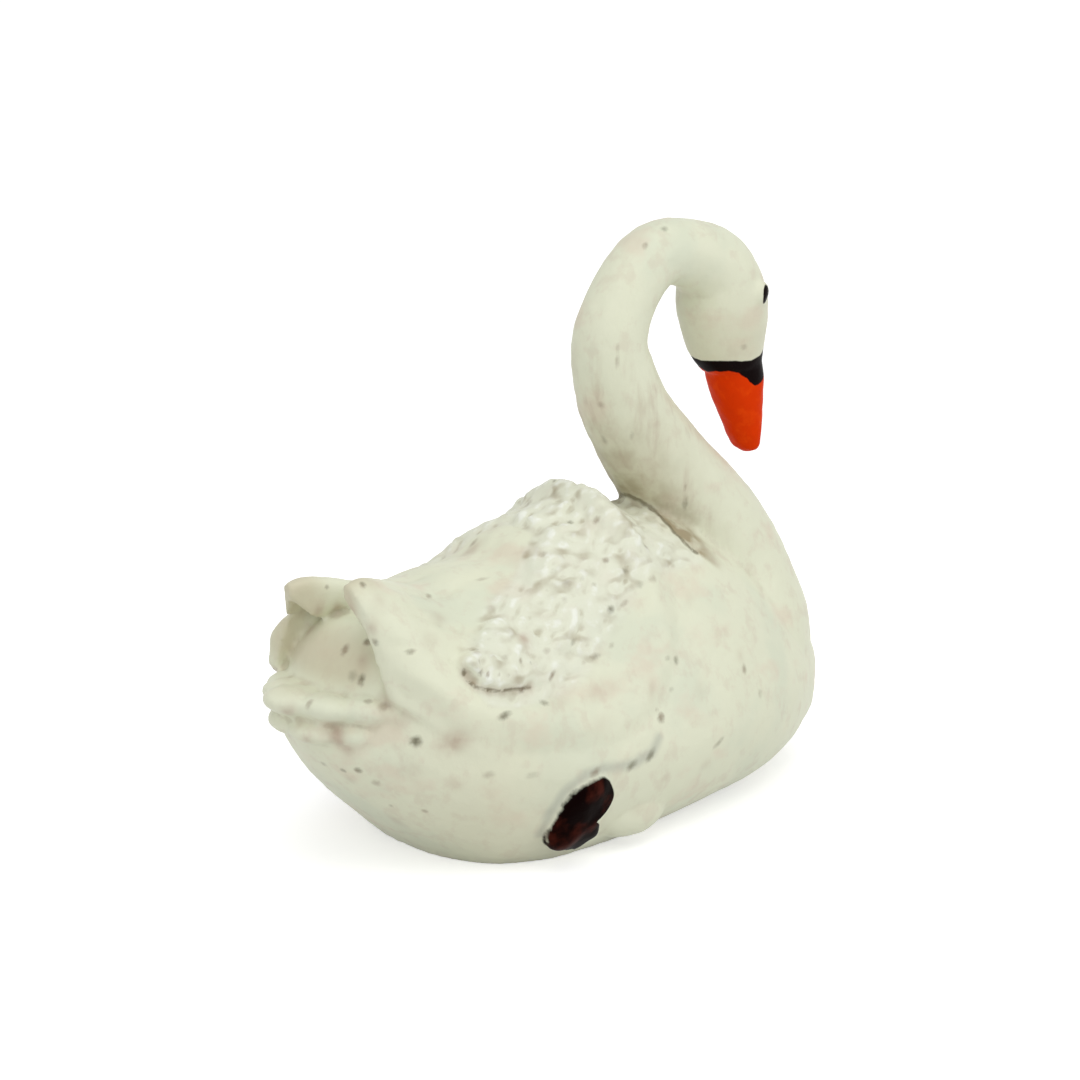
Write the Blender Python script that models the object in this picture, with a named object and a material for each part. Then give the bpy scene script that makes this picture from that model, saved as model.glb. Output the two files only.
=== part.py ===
"""Swan figurine, resting, cast in one piece.

Frame: metres, +Z up, the bird faces +X, its left wing is on +Y.
The origin is the middle of the flat face under the belly.
Every shape table below holds fractions of the driving dimensions.
"""

import bpy
import numpy as np

# Driving dimensions, metres
LENGTH = 0.0734
WIDTH = 0.0368
BACK_HEIGHT = 0.0337
HEIGHT = 0.0600
HEAD_WIDTH = 0.0093
BILL_WIDTH = 0.0066
EYE_DIAMETER = 0.0026
TAIL_FEATHER_WIDTH = 0.0064
FOOT_WIDTH = 0.0084
COVERT_WIDTH = 0.0026
COVERT_LENGTH = 0.0026
FEATHER_RELIEF = 0.0009
MANTLE_STEP = 0.0013
TIP_FEATHER_LENGTH = 0.0055
TIP_FEATHER_SWELL = 0.0011
# The ends of the wings are worn away by about this much
TIP_NOTCH = 0.0022
# The tip of the right wing is cocked higher by this much
TIP_LIFT = 0.002

# Sizes of the casting's surface
GRAIN = 0.0004
TRIANGLES_BEFORE_CUT = 12200

# Body from the tail to the breast: place along the length, half width over the
# width, then top, underside and widest level over the height of the back.
BODY = (
    (-0.474, 0.011, 0.47, 0.44, 0.45),
    (-0.452, 0.12, 0.55, 0.37, 0.44),
    (-0.412, 0.215, 0.7, 0.255, 0.43),
    (-0.385, 0.275, 0.745, 0.2, 0.41),
    (-0.36, 0.32, 0.76, 0.15, 0.39),
    (-0.3, 0.395, 0.77, 0.035, 0.34),
    (-0.245, 0.44, 0.77, -0.06, 0.315),
    (-0.191, 0.467, 0.78, -0.1, 0.303),
    (-0.068, 0.489, 0.86, -0.1, 0.297),
    (0.054, 0.489, 0.905, -0.072, 0.303),
    (0.163, 0.459, 0.89, -0.05, 0.309),
    (0.262, 0.395, 0.77, -0.025, 0.312),
    (0.348, 0.306, 0.655, 0.033, 0.312),
    (0.403, 0.222, 0.55, 0.085, 0.31),
    (0.436, 0.124, 0.445, 0.17, 0.31),
    (0.449, 0.011, 0.34, 0.29, 0.32),
)

# Wing from the shoulder to its tip: place along the length, upper edge (out, up),
# lower edge (out, up) and thickness. Out and thickness go by the width.
WING = (
    (0.191, 0.122, 0.785, 0.25, 0.653, 0.022),
    (0.136, 0.065, 0.845, 0.315, 0.593, 0.049),
    (0.068, 0, 0.9, 0.38, 0.519, 0.065),
    (0.022, -0.02, 0.962, 0.417, 0.44, 0.074),
    (0.0, -0.03, 0.92, 0.432, 0.39, 0.078),
    (-0.035, -0.03, 0.895, 0.448, 0.334, 0.08),
    (-0.075, -0.03, 0.88, 0.455, 0.303, 0.08),
    (-0.113, -0.03, 0.862, 0.457, 0.291, 0.08),
    (-0.14, -0.03, 0.822, 0.453, 0.293, 0.08),
    (-0.17, -0.03, 0.81, 0.447, 0.298, 0.08),
    (-0.215, -0.03, 0.812, 0.432, 0.31, 0.08),
    (-0.272, -0.02, 0.793, 0.404, 0.35, 0.082),
    (-0.34, 0.022, 0.807, 0.346, 0.424, 0.082),
    (-0.38, 0.065, 0.825, 0.3, 0.49, 0.082),
    (-0.42, 0.1, 0.838, 0.25, 0.545, 0.075),
    (-0.441, 0.112, 0.845, 0.228, 0.58, 0.035),
)

# Neck and head from the breast to the bill: forward over the length, up over the
# whole height, then half depth and half width over the width of the head.
NECK = (
    (0.287, 0.157, 1.2, 1.29),
    (0.298, 0.281, 1.075, 1.14),
    (0.287, 0.381, 0.86, 0.86),
    (0.248, 0.474, 0.7, 0.71),
    (0.199, 0.556, 0.58, 0.59),
    (0.15, 0.632, 0.527, 0.527),
    (0.11, 0.715, 0.484, 0.484),
    (0.093, 0.808, 0.419, 0.419),
    (0.122, 0.885, 0.385, 0.385),
    (0.178, 0.941, 0.371, 0.371),
    (0.238, 0.935, 0.387, 0.387),
    (0.293, 0.896, 0.462, 0.462),
    (0.314, 0.825, 0.54, 0.5),
    (0.322, 0.768, 0.472, 0.452),
    (0.332, 0.725, 0.36, 0.376),
)

# Bill in the same way, with its half depth and half width over the bill's width.
BILL = (
    (0.333, 0.738, 0.44, 0.485),
    (0.34, 0.699, 0.447, 0.5),
    (0.345, 0.667, 0.394, 0.47),
    (0.355, 0.619, 0.295, 0.394),
    (0.362, 0.578, 0.197, 0.318),
    (0.365, 0.561, 0.129, 0.242),
    (0.366, 0.553, 0.038, 0.091),
)

# Rear edge of the feathered mantle on a wing: place across the wing from the back
# (0) to the lower edge (1), place along the length.
MANTLE_REAR = (
    (0.0, -0.064),
    (0.15, -0.07),
    (0.25, -0.14),
    (0.34, -0.205),
    (0.43, -0.28),
    (0.52, -0.313),
    (0.59, -0.295),
    (1.0, -0.2),
)
# Lower edge of the mantle: place along the length, place across the wing.
MANTLE_LOW = ((-0.35, 0.61), (-0.31, 0.605), (-0.232, 0.585), (-0.136, 0.525), (-0.06, 0.45), (0.2, 0.44))

# Tail feather tips: back along the length, out over the width, up over the back.
TAIL_TIPS = (
    (-0.524, 0.0, 0.575),
    (-0.494, 0.09, 0.565),
    (-0.495, -0.1, 0.565),
    (-0.46, 0.17, 0.55),
    (-0.45, -0.18, 0.555),
    (-0.498, 0.05, 0.485),
    (-0.5, -0.055, 0.48),
    (-0.468, 0.13, 0.465),
    (-0.46, -0.14, 0.47),
    (-0.448, 0.0, 0.415),
    (-0.41, 0.09, 0.4),
    (-0.41, -0.09, 0.4),
)
TAIL_ROOT = (-0.28, 0.0, 0.46)

# Outline of a foot: angle from straight forward in turns, reach over its width.
FOOT_OUTLINE = (
    (-0.17, 0.5),
    (-0.115, 0.51),
    (-0.08, 0.4),
    (-0.024, 0.34),
    (0.012, 0.4),
    (0.057, 0.54),
    (0.126, 0.55),
    (0.192, 0.6),
    (0.278, 0.54),
    (0.355, 0.5),
    (0.467, 0.44),
    (0.561, 0.5),
    (0.608, 0.51),
    (0.688, 0.45),
    (0.769, 0.475),
)
FOOT_PLACE = (-0.1655, 0.442, 0.155)
FOOT_TILT = -0.4
THIGH_PLACE = (-0.054, 0.388, 0.118)
THIGH_REACH = (0.066, 0.078, 0.087)
DOME = 1.45
RUMP = 0.75
EYE_ANGLE = 1.19
EYE_LEVEL = 0.857


def through(stations, values, at):
    """Smooth cubic curve through a few stations, read at the places asked for."""
    x = np.asarray(stations, float)
    y = np.asarray(values, float)
    slope = np.gradient(y, x, axis=0)
    at = np.clip(np.asarray(at, float), x[0], x[-1])
    i = np.clip(np.searchsorted(x, at) - 1, 0, len(x) - 2)
    gap = x[i + 1] - x[i]
    t = (at - x[i]) / gap
    a = (1 + 2 * t) * (1 - t) ** 2
    b = t * (1 - t) ** 2 * gap
    c = t * t * (3 - 2 * t)
    d = t * t * (t - 1) * gap
    if y.ndim > 1:
        a, b, c, d = (k[..., None] for k in (a, b, c, d))
    return a * y[i] + b * slope[i] + c * y[i + 1] + d * slope[i + 1]


def step(low, high, at):
    """0 below low, 1 above high, with a soft rise between them."""
    t = np.clip((at - low) / (high - low), 0, 1)
    return t * t * (3 - 2 * t)


def bell(middle, spread, at):
    """A smooth hump, 1 at its middle."""
    return np.exp(-(((at - middle) / spread) ** 2))


def body_surface(rows, around):
    """Closed rings across the body, one for each place along its length."""
    table = np.array(BODY)
    half_turn = np.linspace(0, np.pi, rows)
    first, last = table[0, 0], table[-1, 0]
    along = first + (last - first) * (1 - np.cos(half_turn)) / 2
    half_width, top, under, level = through(table[:, 0], table[:, 1:], along).T
    angle = np.linspace(0, 2 * np.pi, around, endpoint=False)
    out, up = np.cos(angle), np.sin(angle)
    y = half_width[:, None] * np.sign(out) * np.abs(out) ** 0.95
    dome = (RUMP + (DOME - RUMP) * step(-0.4, -0.2, along))[:, None]
    above = (top - level)[:, None] * np.abs(up) ** dome
    keel = (0.95 - 0.25 * step(0.12, 0.36, along))[:, None]
    below = (level - under)[:, None] * np.abs(up) ** keel
    z = level[:, None] + np.where(up >= 0, above, -below)
    x = np.repeat(along[:, None], around, axis=1)
    return np.stack([x * LENGTH, y * WIDTH, z * BACK_HEIGHT], -1)


def neck_surface(table, thickness, rows, around):
    """Closed rings square to a centre line that bends in the middle plane."""
    table = np.array(table) * (LENGTH, HEIGHT, thickness, thickness)
    legs = np.hypot(*np.diff(table[:, :2], axis=0).T)
    stations = np.concatenate([[0], np.cumsum(legs)])
    s = np.linspace(0, stations[-1], rows)
    x, z, deep, wide = through(stations, table, s).T
    ahead = np.stack([np.gradient(x, s), np.gradient(z, s)])
    ahead = ahead / np.linalg.norm(ahead, axis=0)
    angle = np.linspace(0, 2 * np.pi, around, endpoint=False)
    reach = deep[:, None] * np.cos(angle)
    y = wide[:, None] * np.sin(angle)
    return np.stack([x[:, None] + ahead[1][:, None] * reach, y, z[:, None] - ahead[0][:, None] * reach], -1)


def mantle(along, across):
    """1 on the feathered mantle of a wing and 0 beyond its edge."""
    rear = through(*np.array(MANTLE_REAR).T, across)
    low = through(*np.array(MANTLE_LOW).T, along)
    behind = step(0, 1, 0.5 + (along - rear) / (0.012 + 0.1 * bell(0.3, 0.13, across)))
    beneath = step(0, 1, 0.5 + (low - across) / (0.04 + 0.12 * step(-0.24, -0.1, along)))
    return behind * beneath


def scales(back, down):
    """Rows of rounded feather ends, each row half a feather off the last."""
    row = np.floor(back / COVERT_LENGTH)
    height = np.zeros_like(back)
    for k in (-1, 0, 1):
        centre = (row + k + 0.5) * COVERT_LENGTH
        shift = 0.5 * ((row + k) % 2) * COVERT_WIDTH
        column = np.round((down - shift) / COVERT_WIDTH)
        chance = np.sin(12.4 * (row + k) + 7.1 * column)
        offset = down - shift - (column + 0.2 * chance) * COVERT_WIDTH
        centre = centre + 0.2 * np.sin(5.3 * (row + k) + 9.7 * column) * COVERT_LENGTH
        reach = np.hypot((back - centre) / (0.72 * COVERT_LENGTH), offset / (0.56 * COVERT_WIDTH))
        worn = 0.75 + 0.25 * chance
        height = np.maximum(height, worn * np.sqrt(np.clip(1 - reach**2, 0, 1)))
    return height


def wing_relief(along, across, arc):
    """Height of the feathers over the plain wing."""
    cover = mantle(along, across)
    fade = step(0.17, 0.02, along)
    feathers = scales(-along * LENGTH, arc) * FEATHER_RELIEF
    quills = 0
    for place in (0.17, 0.34, 0.52):
        quills = quills - bell(place, 0.018, across)
    quills = quills * step(-0.12, -0.24, along)
    fold = bell(0.7, 0.06, across) - bell(0.85, 0.07, across)
    fold = fold * step(-0.1, -0.26, along) * step(-0.465, -0.43, along)
    margin = 1 - 0.6 * step(0, 0.12, along - through(*np.array(MANTLE_REAR).T, across))
    ledge = 0.12 + 0.6 * bell(0, 0.11, across) + 0.6 * bell(0.54, 0.11, across) * step(-0.12, -0.26, along)
    raised = cover * (MANTLE_STEP * ledge * margin * step(0.1, 0.0, along) + feathers * fade)
    plain = (1 - cover) * (0.3 * quills + 0.4 * fold) * FEATHER_RELIEF
    return raised + plain


def wing_surface(side, rows, across_count):
    """Closed rings round a folded wing: its outer face and the inner face behind it."""
    table = np.array(WING)
    along = np.linspace(table[-1, 0], table[0, 0], rows)
    values = through(table[::-1, 0], table[::-1, 1:], along)
    y_top, z_top, y_low, z_low, thick = (values * (WIDTH, BACK_HEIGHT, WIDTH, BACK_HEIGHT, WIDTH)).T[:, :, None]
    z_top = z_top + TIP_LIFT * (0.5 - 0.5 * side) * step(-0.25, -0.43, along)[:, None]
    across = np.linspace(0, 1, across_count)[None, :]
    turn = across * 0.499 * np.pi
    y = y_top + (y_low - y_top) * np.sin(turn)
    z = z_low + (z_top - z_low) * np.cos(turn) ** DOME
    out = (z_top - z_low) * np.sin(turn) * DOME * np.cos(turn) ** (DOME - 1)
    up = (y_low - y_top) * np.cos(turn)
    size = np.hypot(out, up)
    out, up = out / size, up / size
    edge = np.sqrt(np.clip(1 - np.abs(2 * across - 1) ** 12, 0, 1))
    sunk = 1 - 0.8 * step(0.74, 1, across) * step(-0.44, -0.35, along)[:, None]
    sunk = sunk * (1 - 0.9 * step(0.3, 0.9, across) * step(-0.03, 0.1, along)[:, None])
    ends = step(table[-1, 0], table[-1, 0] + 0.01, along)[:, None]
    half = 0.5 * thick * edge * sunk
    steps = np.hypot(np.diff(y, axis=1), np.diff(z, axis=1))
    arc = np.concatenate([np.zeros((rows, 1)), np.cumsum(steps, axis=1)], axis=1)
    place = np.broadcast_to(along[:, None], y.shape)
    raised = wing_relief(place, np.broadcast_to(across, y.shape), arc) * edge * ends
    waves = np.abs(np.sin(np.pi * (place - table[-1, 0]) * LENGTH / TIP_FEATHER_LENGTH))
    inside = half + TIP_FEATHER_SWELL * waves * bell(0.2, 0.22, across) * step(-0.27, -0.35, place)
    worn = (0.5 + 0.5 * side) * (2 * bell(0.4, 0.15, across) + 0.45 * step(0.3, 0.6, across))
    slant = (0.5 - 0.5 * side) * 1.05 * step(0.1, 0.95, across)
    x = place * LENGTH + TIP_NOTCH * (worn + slant) * step(-0.32, -0.44, place)
    outer = np.stack([x, (y + out * (half + raised)), z + up * (half + raised)], -1)
    inner = np.stack([x, (y - out * inside), z - up * inside], -1)
    rings = np.concatenate([outer, inner[:, -2:0:-1]], axis=1)
    return rings * (1, side, 1)


def feather_surface(root, tip, half_width, half_depth, rows=16, around=16):
    """A flat feather with a round end, from its root to its tip."""
    root, tip = np.array(root), np.array(tip)
    t = 1 - (1 - np.linspace(0, 1, rows)) ** 2
    swell = (0.6 + 0.4 * t) * np.sqrt(np.clip(1 - np.clip((t - 0.8) / 0.2, 0, 1) ** 2, 0, 1))
    ahead = (tip - root) / np.linalg.norm(tip - root)
    side = np.cross((0, 0, 1), ahead)
    side = side / np.linalg.norm(side)
    rise = np.cross(ahead, side)
    angle = np.linspace(0, 2 * np.pi, around, endpoint=False)
    middle = root + (tip - root) * t[:, None]
    width = (swell * half_width)[:, None, None] * np.cos(angle)[None, :, None] * side
    depth = (swell * half_depth)[:, None, None] * np.sin(angle)[None, :, None] * rise
    return middle[:, None, :] + width + depth


def dome_surface(centre, forward, across, outward, outline, height, rings=8, around=36):
    """A shallow dome with a free outline; its hidden half lies inside the body."""
    turn = np.linspace(0, 1, around, endpoint=False)
    reach = outline(turn)
    polar = np.linspace(0, np.pi, 2 * rings)
    radius = np.sin(polar)[:, None] * reach
    lift = height * np.cos(polar)[:, None] * np.ones(around)
    angle = 2 * np.pi * turn
    points = np.array(centre) + (radius * np.cos(angle))[..., None] * forward
    return points + (radius * np.sin(angle))[..., None] * across + lift[..., None] * outward


def ellipsoid_surface(centre, reach, rows=16, around=24):
    """A plain ellipsoid."""
    tilt = np.linspace(0, np.pi, rows)[:, None]
    turn = np.linspace(0, 2 * np.pi, around, endpoint=False)[None, :]
    unit = np.stack([np.sin(tilt) * np.cos(turn), np.sin(tilt) * np.sin(turn), np.cos(tilt) + 0 * turn], -1)
    return np.array(centre) + unit * reach


def foot_surface(side):
    """One webbed foot, laid back against the flank."""
    table = np.array(FOOT_OUTLINE)

    def outline(turn):
        wrapped = np.where(turn > table[-1, 0], turn - 1, turn)
        return through(table[:, 0], table[:, 1], wrapped) * FOOT_WIDTH

    down = 1 / np.hypot(1, FOOT_TILT)
    upward = np.array([0, -FOOT_TILT * side, 1]) * down
    outward = np.array([0, side, FOOT_TILT]) * down
    place = np.array(FOOT_PLACE) * (LENGTH, side * WIDTH, BACK_HEIGHT)
    return dome_surface(place, np.array([1, 0, 0]), upward, outward, outline, 0.14 * FOOT_WIDTH)


def eye_surface(side):
    """A small round eye standing a little out of the head."""
    table = np.array(NECK[-6:])
    middle, deep, wide = (through(table[::-1, 1], table[::-1, k], EYE_LEVEL) for k in (0, 2, 3))
    out = np.array([np.cos(EYE_ANGLE), side * np.sin(EYE_ANGLE), 0.0])
    rim = (np.cos(EYE_ANGLE) * deep * HEAD_WIDTH, side * np.sin(EYE_ANGLE) * wide * HEAD_WIDTH, 0)
    centre = np.array([middle * LENGTH, 0, EYE_LEVEL * HEIGHT]) + rim
    flat = np.array([-side * np.sin(EYE_ANGLE), np.cos(EYE_ANGLE), 0.0])
    radius = EYE_DIAMETER / 2
    return dome_surface(centre, flat, np.array([0, 0, 1.0]), out, lambda turn: radius + 0 * turn, 0.35 * radius, 5, 16)


def solid(rings):
    """Vertices and faces of a closed skin over rings, with a point closing each end."""
    rows, around, _ = rings.shape
    points = np.concatenate([rings.reshape(-1, 3), rings[:1].mean(axis=1), rings[-1:].mean(axis=1)])
    first, last = rows * around, rows * around + 1
    faces = []
    for j in range(around):
        k = (j + 1) % around
        faces.append((first, k, j))
        faces.append((last, (rows - 1) * around + j, (rows - 1) * around + k))
        for i in range(rows - 1):
            a, b = i * around, (i + 1) * around
            faces.append((a + j, a + k, b + k, b + j))
    corner = points[np.array([f[:3] for f in faces])]
    if np.linalg.det(corner).sum() < 0:
        faces = [f[::-1] for f in faces]
    return points, faces


def joined(surfaces):
    """One list of vertices and one of faces for several closed skins."""
    points, faces, start = [], [], 0
    for rings in surfaces:
        p, f = solid(rings)
        points.append(p)
        faces += [tuple(int(v) + start for v in face) for face in f]
        start += len(p)
    return np.concatenate(points), faces


def mesh_object(name, points, faces):
    """A new object from vertices and faces."""
    mesh = bpy.data.meshes.new(name)
    mesh.from_pydata(points.tolist(), [], faces)
    mesh.update()
    made = bpy.data.objects.new(name, mesh)
    bpy.context.scene.collection.objects.link(made)
    return made


def settle(obj):
    """Replaces an object's mesh with what its modifiers make of it."""
    graph = bpy.context.evaluated_depsgraph_get()
    mesh = bpy.data.meshes.new_from_object(obj.evaluated_get(graph))
    obj.modifiers.clear()
    obj.data = mesh


for old in list(bpy.data.objects):
    bpy.data.objects.remove(old)

surfaces = [
    body_surface(90, 72),
    neck_surface(NECK, HEAD_WIDTH, 150, 48),
    neck_surface(BILL, BILL_WIDTH, 40, 36),
]
for tip in TAIL_TIPS:
    scale = np.array((LENGTH, WIDTH, BACK_HEIGHT))
    half_width = TAIL_FEATHER_WIDTH / 2
    surfaces.append(feather_surface(TAIL_ROOT * scale, tip * scale, half_width, 0.5 * half_width))
for side in (-1, 1):
    surfaces.append(wing_surface(side, 120, 70))
    surfaces.append(foot_surface(side))
    surfaces.append(eye_surface(side))
    place = np.array(THIGH_PLACE) * (LENGTH, side * WIDTH, BACK_HEIGHT)
    surfaces.append(ellipsoid_surface(place, np.array(THIGH_REACH) * (LENGTH, WIDTH, BACK_HEIGHT)))

swan = mesh_object("swan", *joined(surfaces))

fuse = swan.modifiers.new("fuse", "REMESH")
fuse.mode = "VOXEL"
fuse.voxel_size = GRAIN
soften = swan.modifiers.new("soften", "SMOOTH")
soften.factor = 0.5
soften.iterations = 2
settle(swan)

thin_out = swan.modifiers.new("thin_out", "DECIMATE")
thin_out.ratio = TRIANGLES_BEFORE_CUT / (2 * len(swan.data.polygons))
settle(swan)

half = LENGTH
ground_points = np.array([(x, y, z) for z in (-half, 0) for y in (-half, half) for x in (-half, half)])
ground_faces = [(0, 2, 3, 1), (4, 5, 7, 6), (0, 1, 5, 4), (2, 6, 7, 3), (0, 4, 6, 2), (1, 3, 7, 5)]
ground = mesh_object("ground_block", ground_points, ground_faces)
ground.hide_render = True
ground.display_type = "WIRE"
level = swan.modifiers.new("level", "BOOLEAN")
level.operation = "DIFFERENCE"
level.object = ground
level.solver = "EXACT"

swan.data.polygons.foreach_set("use_smooth", [True] * len(swan.data.polygons))
paint = bpy.data.materials.new("painted_resin")
paint.use_nodes = True
shader = paint.node_tree.nodes["Principled BSDF"]
shader.inputs["Base Color"].default_value = (0.69, 0.71, 0.58, 1)
shader.inputs["Roughness"].default_value = 0.45
swan.data.materials.append(paint)
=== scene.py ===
# %% [markdown]
# # A hand-painted swan, cast in one piece
#
# The real object is a small resin swan. A mould gives the whole bird at once: breast, neck,
# bill, folded wings, tail and feet are one skin with no seams. The relief of the feathers
# is soft, because it was carved small and then cast. Then the bird was painted by hand:
# a satin off-white all over, a thin brown wash that stays in the hollows, an orange bill
# with a black base, black eyes and dark brown feet.
#
# The plan follows the real one. Closed surfaces are fused into one skin, the skin gets the
# small lumps of a casting, and only then is it painted. Along with its colours, the paint
# carries painted shade in hollows and creases and a painted highlight on the feather lumps.

from functools import partial

import bpy
import numpy as np
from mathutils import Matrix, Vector


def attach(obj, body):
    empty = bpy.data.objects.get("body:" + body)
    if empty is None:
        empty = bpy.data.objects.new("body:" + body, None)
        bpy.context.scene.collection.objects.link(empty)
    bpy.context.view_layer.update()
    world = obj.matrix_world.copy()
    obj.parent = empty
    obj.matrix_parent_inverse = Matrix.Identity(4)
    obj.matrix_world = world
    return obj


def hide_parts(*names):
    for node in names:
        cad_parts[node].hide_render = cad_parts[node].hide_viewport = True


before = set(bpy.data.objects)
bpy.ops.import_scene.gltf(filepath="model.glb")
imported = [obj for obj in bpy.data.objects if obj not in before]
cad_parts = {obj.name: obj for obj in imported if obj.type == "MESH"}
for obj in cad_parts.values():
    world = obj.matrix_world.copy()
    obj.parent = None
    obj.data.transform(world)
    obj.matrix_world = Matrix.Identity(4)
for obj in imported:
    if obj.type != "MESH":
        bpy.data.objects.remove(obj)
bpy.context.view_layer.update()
LENGTH, WIDTH, HEIGHT = 0.0734, 0.0368, 0.0600
BACK_HEIGHT = 0.0337
HEAD_WIDTH, BILL_WIDTH = 0.0093, 0.0066

# %% [markdown]
# ## Curves drawn through a few stations
#
# A sculptor sets a few heights and widths along a form and lets the hand run smoothly
# between them. A cubic curve does the same for numbers. Bezier curves would do too, but a
# plain function can be read at thousands of places at once.


# %% Helpers for smooth tables, soft steps and humps
def thousandths(*rows):
    """A table of shares, written as whole thousandths."""
    return np.array(rows) / 1000


def through(table, at):
    """Cubic through rows of a station and its values: each span blends its end values and
    end slopes by the four Hermite weights, and a slope is the table's central difference."""
    x, y = table[:, 0], table[:, 1:]
    slope = np.gradient(y, x, axis=0)
    at = np.clip(at, x[0], x[-1])
    i = np.clip(np.searchsorted(x, at) - 1, 0, len(x) - 2)
    gap = x[i + 1] - x[i]
    t = (at - x[i]) / gap
    near = (1 + 2 * t) * (1 - t) ** 2, t * (1 - t) ** 2 * gap
    far = t * t * (3 - 2 * t), t * t * (t - 1) * gap
    parts = zip(near + far, (y[i], slope[i], y[i + 1], slope[i + 1]))
    values = sum(weight[..., None] * part for weight, part in parts)
    return values[..., 0] if y.shape[1] == 1 else values


def step(low, high, at):
    """0 before low and 1 after high; between them three t squared less two t cubed."""
    t = np.clip((at - low) / (high - low), 0, 1)
    return t * t * (3 - 2 * t)


def full_turn(count):
    """Evenly spaced angles from nothing up to just before a whole turn."""
    return np.linspace(0, 2 * np.pi, count, endpoint=False)


def bell(middle, spread, at):
    """e to the minus square of the distance from the middle, counted in spreads."""
    return np.exp(-(((at - middle) / spread) ** 2))


def chance(a, b):
    """A fixed number from 0 to 1 for each pair, as the fraction of a large sine."""
    return (np.sin(a * 127.1 + b * 311.7) * 43758.5453) % 1


print("a step read at its middle:", step(0, 1, 0.5))

# %% [markdown]
# ## The body
#
# The body is a boat: a round breast, a broad belly and a rump that lifts towards the tail.
# It could be sculpted from a sphere, but rings along its length keep every width under
# control. Each ring is an oval whose upper half is drawn in towards the back.

# %% Body surface
BODY = thousandths(
    (-474, 11, 470, 440, 450), (-452, 120, 550, 370, 440), (-412, 215, 700, 255, 430),
    (-385, 275, 745, 200, 410), (-360, 320, 760, 150, 390), (-300, 395, 770, 35, 340),
    (-245, 440, 770, -60, 315), (-191, 467, 780, -100, 303), (-68, 489, 860, -100, 297),
    (54, 489, 905, -72, 303), (163, 459, 890, -50, 309), (262, 395, 770, -25, 312),
    (348, 306, 655, 33, 312), (403, 222, 550, 85, 310), (436, 124, 445, 170, 310),
    (449, 11, 340, 290, 320),
)
DOME, RUMP = 1.45, 0.75


def body_surface(rows, around):
    """Rings (x, w cos a, level + h sin a): x runs along the bird, w is the half width there
    and h the height above or below the widest level, with the sine raised to a power that
    narrows the back and squares the rump."""
    share = (1 - np.cos(np.linspace(0, np.pi, rows))) / 2
    along = BODY[0, 0] + (BODY[-1, 0] - BODY[0, 0]) * share
    half_width, top, under, level = through(BODY, along).T[:, :, None]
    angle = full_turn(around)
    out, up = np.cos(angle), np.sin(angle)
    power = (RUMP + (DOME - RUMP) * step(-0.4, -0.2, along))[:, None]
    keel = (0.95 - 0.25 * step(0.12, 0.36, along))[:, None]
    above, below = (top - level) * np.abs(up) ** power, (under - level) * np.abs(up) ** keel
    lift = np.where(up >= 0, above, below)
    y = half_width * np.sign(out) * np.abs(out) ** 0.95
    x = np.repeat(along[:, None], around, axis=1)
    return np.stack([x * LENGTH, y * WIDTH, (level + lift) * BACK_HEIGHT], -1)


print("body rings:", body_surface(160, 128).shape)

# %% [markdown]
# ## Neck, head and bill
#
# The neck rises out of the breast, leans back, and curls over until the bill points down.
# One oval that grows and shrinks is carried along that bent line.
# A skin modifier could do it too, with less control of the cheeks.

# %% Neck, head and bill surfaces
NECK = thousandths(
    (287, 157, 1200, 1290), (298, 281, 1075, 1140), (287, 381, 860, 860), (248, 474, 700, 710),
    (199, 556, 580, 590), (150, 632, 527, 527), (110, 715, 484, 484), (93, 808, 419, 419),
    (122, 885, 385, 385), (178, 941, 371, 371), (238, 935, 387, 387), (293, 896, 462, 462),
    (314, 825, 540, 500), (322, 768, 472, 452), (332, 725, 360, 376),
)
BILL = thousandths(
    (333, 738, 440, 485), (340, 699, 447, 500), (345, 667, 394, 470), (355, 619, 295, 394),
    (362, 578, 197, 318), (365, 561, 129, 242), (366, 553, 38, 91),
)


def bent_tube(table, thickness, rows, around):
    """Rings square to a centre line in the middle plane: centre + normal times deep cos a,
    with wide sin a sideways, where deep and wide change along the line."""
    table = table * (LENGTH, HEIGHT, thickness, thickness)
    lengths = np.hypot(*np.diff(table[:, :2], axis=0).T)
    stations = np.concatenate([[0], np.cumsum(lengths)])
    s = np.linspace(0, stations[-1], rows)
    x, z, deep, wide = through(np.column_stack([stations, table]), s).T[:, :, None]
    ahead = np.stack([np.gradient(x[:, 0], s), np.gradient(z[:, 0], s)])
    ahead = (ahead / np.linalg.norm(ahead, axis=0))[:, :, None]
    angle = full_turn(around)
    reach = deep * np.cos(angle)
    return np.stack([x + ahead[1] * reach, wide * np.sin(angle), z - ahead[0] * reach], -1)


print("neck rings:", bent_tube(NECK, HEAD_WIDTH, 260, 96).shape)

# %% [markdown]
# ## Feathers on the folded wings
#
# The mantle, from the neck back, is covered with small round feather ends, and stands a
# little above the rest. Behind it lie a few long feathers with faint lines between them.
# Along the flank the wing folds into a soft ridge with a hollow under it. All of it is
# height added to a plain wing, so it is one function of two places: along the bird, and
# across the wing from the back down.

# %% Outline of the mantle and rows of feather ends
MANTLE_REAR = thousandths(
    (0, -64), (150, -70), (250, -140), (340, -205), (430, -280), (520, -313), (590, -295),
    (1000, -200),
)
MANTLE_LOW = thousandths(
    (-350, 610), (-310, 605), (-232, 585), (-136, 525), (-60, 450), (200, 440),
)
FEATHER, FEATHER_RELIEF, MANTLE_STEP = 0.0019, 0.0007, 0.0013
LINE_RELIEF, FOLD_RELIEF = 0.00026, 0.00036


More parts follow.
